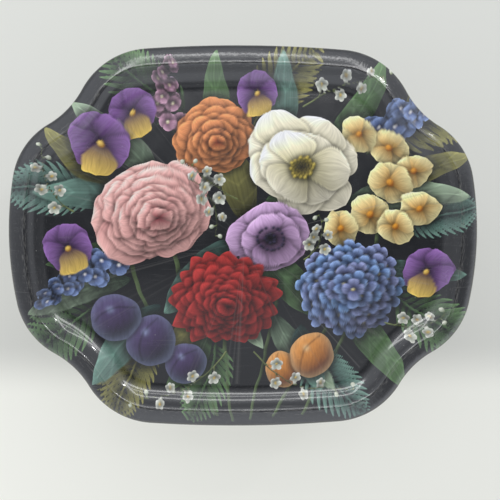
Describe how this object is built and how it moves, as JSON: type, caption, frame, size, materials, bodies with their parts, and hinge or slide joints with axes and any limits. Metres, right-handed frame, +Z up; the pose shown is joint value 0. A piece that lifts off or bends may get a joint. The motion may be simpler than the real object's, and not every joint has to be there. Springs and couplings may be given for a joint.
{
  "type": "folding tray table",
  "caption": "Low folding tray table: a pressed metal tray with notched corners and a rolled rim, on bent-tube legs that fold flat beneath it.",
  "frame": {"origin": "on the floor, below the middle of the tray, with the legs open", "axes": "+X along the tray's long side, +Y across it towards its back edge, +Z up"},
  "size_m": [0.49, 0.399, 0.1989],
  "materials": {
    "tray_lacquer": "printed and clear-lacquered sheet steel, glossy",
    "leg_enamel": "black stoving enamel, satin gloss",
    "bracket_zinc": "zinc plated pressing",
    "pin_steel": "nickel plated rivet",
    "clip_spring_steel": "blued spring steel strip",
    "knuckle_nylon": "moulded black nylon, fine grain",
    "glide_rubber": "moulded black rubber, matt",
    "washer_nylon": "natural nylon washer"
  },
  "bodies": {
    "tray_top": {"tray": "tray_lacquer", "rail_clip_front": "clip_spring_steel", "rail_clip_back": "clip_spring_steel", "hinge_bracket_right_front": "bracket_zinc", "pivot_pin_right_front": "pin_steel", "hinge_bracket_right_back": "bracket_zinc", "pivot_pin_right_back": "pin_steel", "hinge_bracket_left_front": "bracket_zinc", "pivot_pin_left_front": "pin_steel", "hinge_bracket_left_back": "bracket_zinc", "pivot_pin_left_back": "pin_steel"},
    "right_leg": {"leg_tube_right": "leg_enamel", "pivot_washers_right": "washer_nylon", "leg_knuckle_right_front": "knuckle_nylon", "leg_knuckle_right_back": "knuckle_nylon", "floor_glide_right_front": "glide_rubber", "floor_glide_right_back": "glide_rubber"},
    "left_leg": {"leg_tube_left": "leg_enamel", "pivot_washers_left": "washer_nylon", "leg_knuckle_left_front": "knuckle_nylon", "leg_knuckle_left_back": "knuckle_nylon", "floor_glide_left_front": "glide_rubber", "floor_glide_left_back": "glide_rubber"}
  },
  "joints": [
    {"name": "right_leg_fold", "type": "hinge", "parent": "tray_top", "child": "right_leg", "pos_m": [0.178, 0, 0.17359], "axis": [0, 1, 0], "range_deg": [0, 96]},
    {"name": "left_leg_fold", "type": "hinge", "parent": "tray_top", "child": "left_leg", "pos_m": [-0.178, 0, 0.17359], "axis": [0, -1, 0], "range_deg": [0, 96]}
  ]
}
